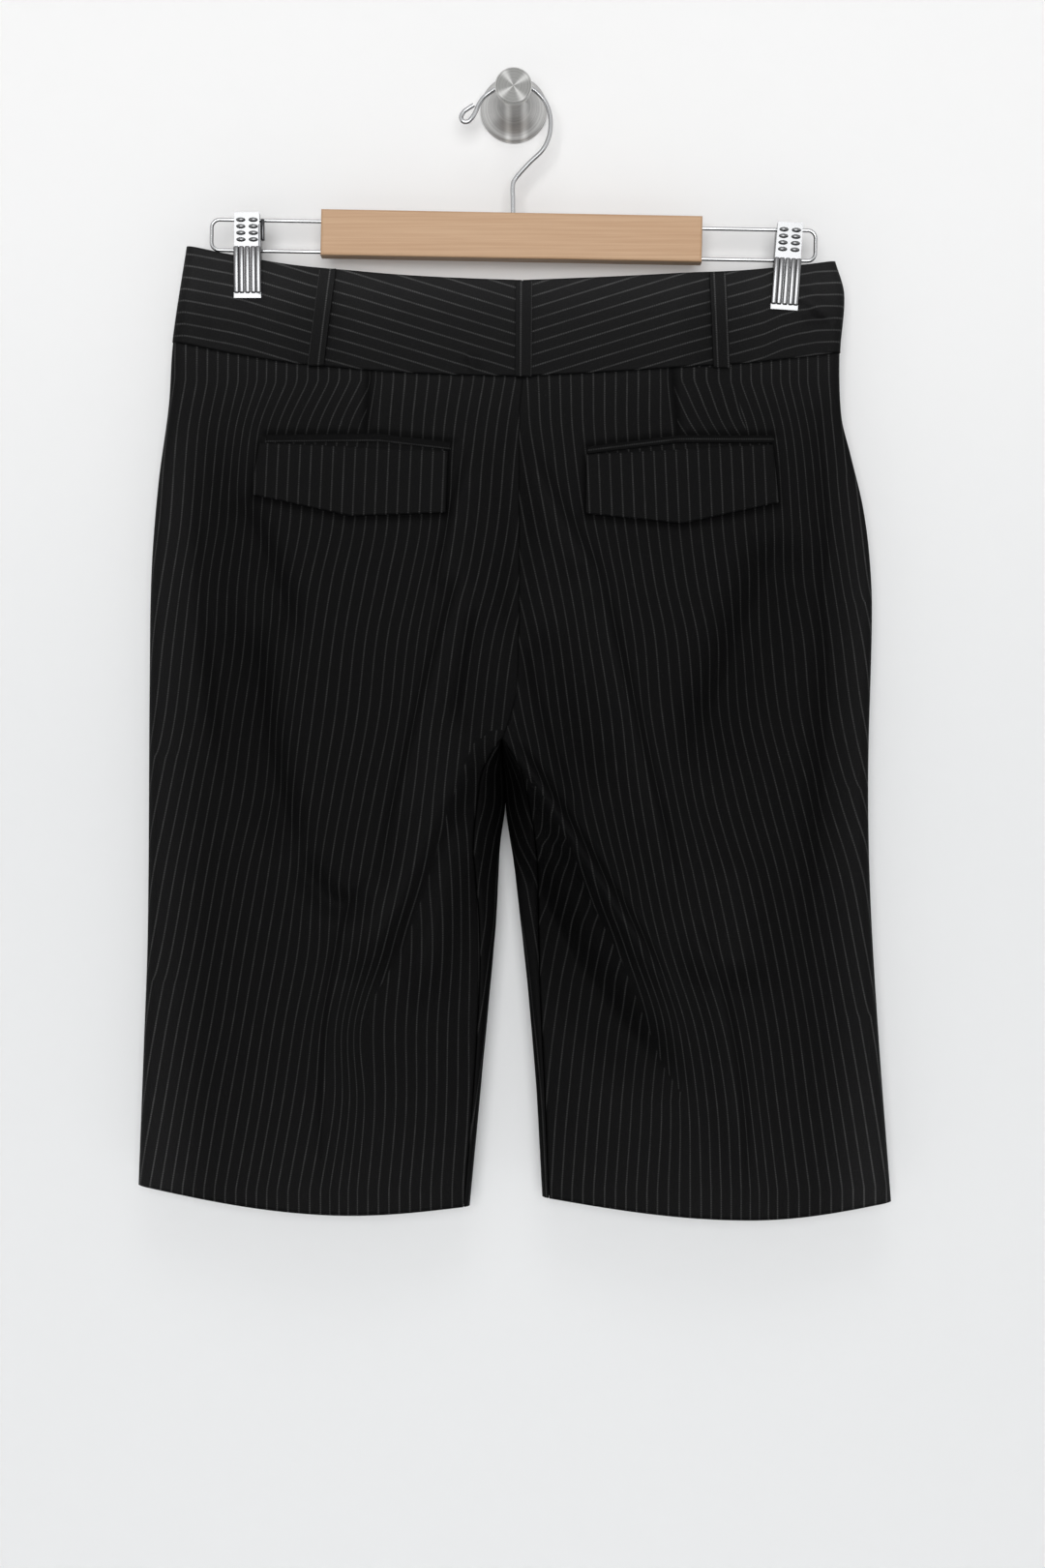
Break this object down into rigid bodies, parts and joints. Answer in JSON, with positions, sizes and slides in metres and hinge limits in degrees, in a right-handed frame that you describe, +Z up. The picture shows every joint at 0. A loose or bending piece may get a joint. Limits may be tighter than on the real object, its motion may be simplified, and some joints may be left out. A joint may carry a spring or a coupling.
{
  "type": "bermuda shorts on a clip hanger and wall knob",
  "caption": "Tailored pinstripe bermuda shorts with flap back pockets and belt loops, seen from the back, hanging by clips from a wooden hanger on a wall knob.",
  "frame": {"origin": "middle of the wall knob's back face, where it meets the wall", "axes": "+Z up, +Y into the wall, +X to the right of someone who faces the wall and sees the back of the shorts"},
  "size_m": [0.4385, 0.0567, 0.6721],
  "materials": {
    "pinstripe_cloth": "smooth suiting weave with thin grey pinstripes",
    "button": "semi gloss",
    "light_wood": "clear lacquer",
    "chrome_wire": "polished",
    "brushed_steel": "brushed"
  },
  "bodies": {
    "root": {"back_left": "pinstripe_cloth", "back_right": "pinstripe_cloth", "front_left": "pinstripe_cloth", "front_right": "pinstripe_cloth", "waistband_back_left": "pinstripe_cloth", "waistband_back_right": "pinstripe_cloth", "waistband_front_left": "pinstripe_cloth", "waistband_front_right": "pinstripe_cloth", "waistband_tab": "pinstripe_cloth", "pocket_flap_left": "pinstripe_cloth", "pocket_flap_right": "pinstripe_cloth", "pocket_welt_left": "pinstripe_cloth", "pocket_welt_right": "pinstripe_cloth", "belt_loop_back_left": "pinstripe_cloth", "belt_loop_back_centre": "pinstripe_cloth", "belt_loop_back_right": "pinstripe_cloth", "belt_loop_front_left": "pinstripe_cloth", "belt_loop_front_right": "pinstripe_cloth", "waist_button": "button", "hanger_bar": "light_wood", "hanger_hook": "chrome_wire", "hanger_wire_left": "chrome_wire", "hanger_wire_right": "chrome_wire", "clip_left_front_leaf": "chrome_wire", "clip_left_rear_leaf": "chrome_wire", "clip_right_front_leaf": "chrome_wire", "clip_right_rear_leaf": "chrome_wire", "wall_knob": "brushed_steel"}
  },
  "joints": []
}
